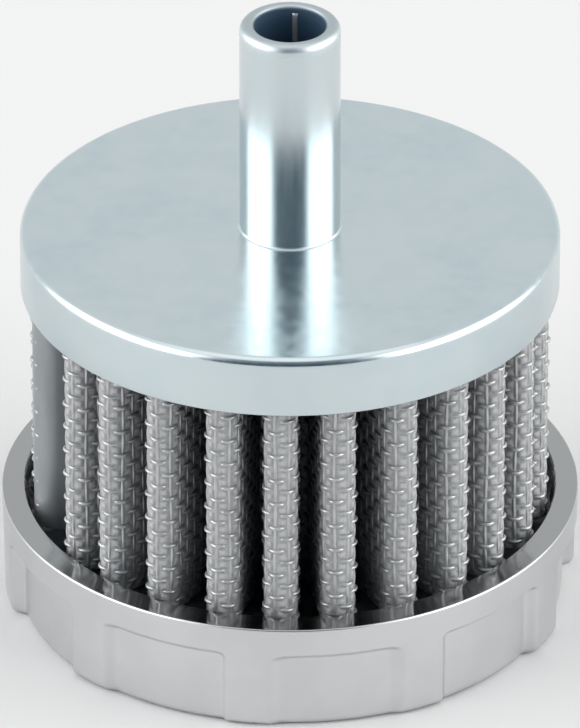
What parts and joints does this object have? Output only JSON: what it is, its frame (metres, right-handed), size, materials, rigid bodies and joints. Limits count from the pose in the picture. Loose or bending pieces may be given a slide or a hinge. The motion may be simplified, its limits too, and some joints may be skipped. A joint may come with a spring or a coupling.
{
  "type": "small vent air filter",
  "caption": "Small round vent air filter: plated steel end cap with a hose stem, pleated gauze and wire element, and a base cap with grip pockets.",
  "frame": {"origin": "centre of the base cap's flat underside", "axes": "+Z along the filter's axis, from the base cap towards the hose stem; -Y is the side from which the seam clip shows at the left"},
  "size_m": [0.055, 0.055, 0.0605],
  "materials": {
    "zinc_plated_steel": "bright zinc plating over pressed sheet, softly mottled",
    "braze_metal": "plated braze fillet",
    "aluminium_wire": "woven wire under a clear oily coat",
    "cotton_gauze": "open cotton weave, grey, oiled",
    "seam_strip": "smooth folded strip, satin",
    "core_steel": "perforated sheet",
    "potting_compound": "dark glossy set compound",
    "satin_cast_metal": "satin cast metal, brighter on its rim"
  },
  "bodies": {
    "root": {"steel_cap": "zinc_plated_steel", "stem_tube": "zinc_plated_steel", "stem_braze_ring": "braze_metal", "upper_sealant": "potting_compound", "outer_wire_mesh": "aluminium_wire", "gauze_ply_outer": "cotton_gauze", "gauze_ply_inner": "cotton_gauze", "inner_wire_mesh": "aluminium_wire", "seam_clip": "seam_strip", "core_tube": "core_steel", "closing_disc": "core_steel", "lower_sealant": "potting_compound", "base_cap": "satin_cast_metal"}
  },
  "joints": []
}
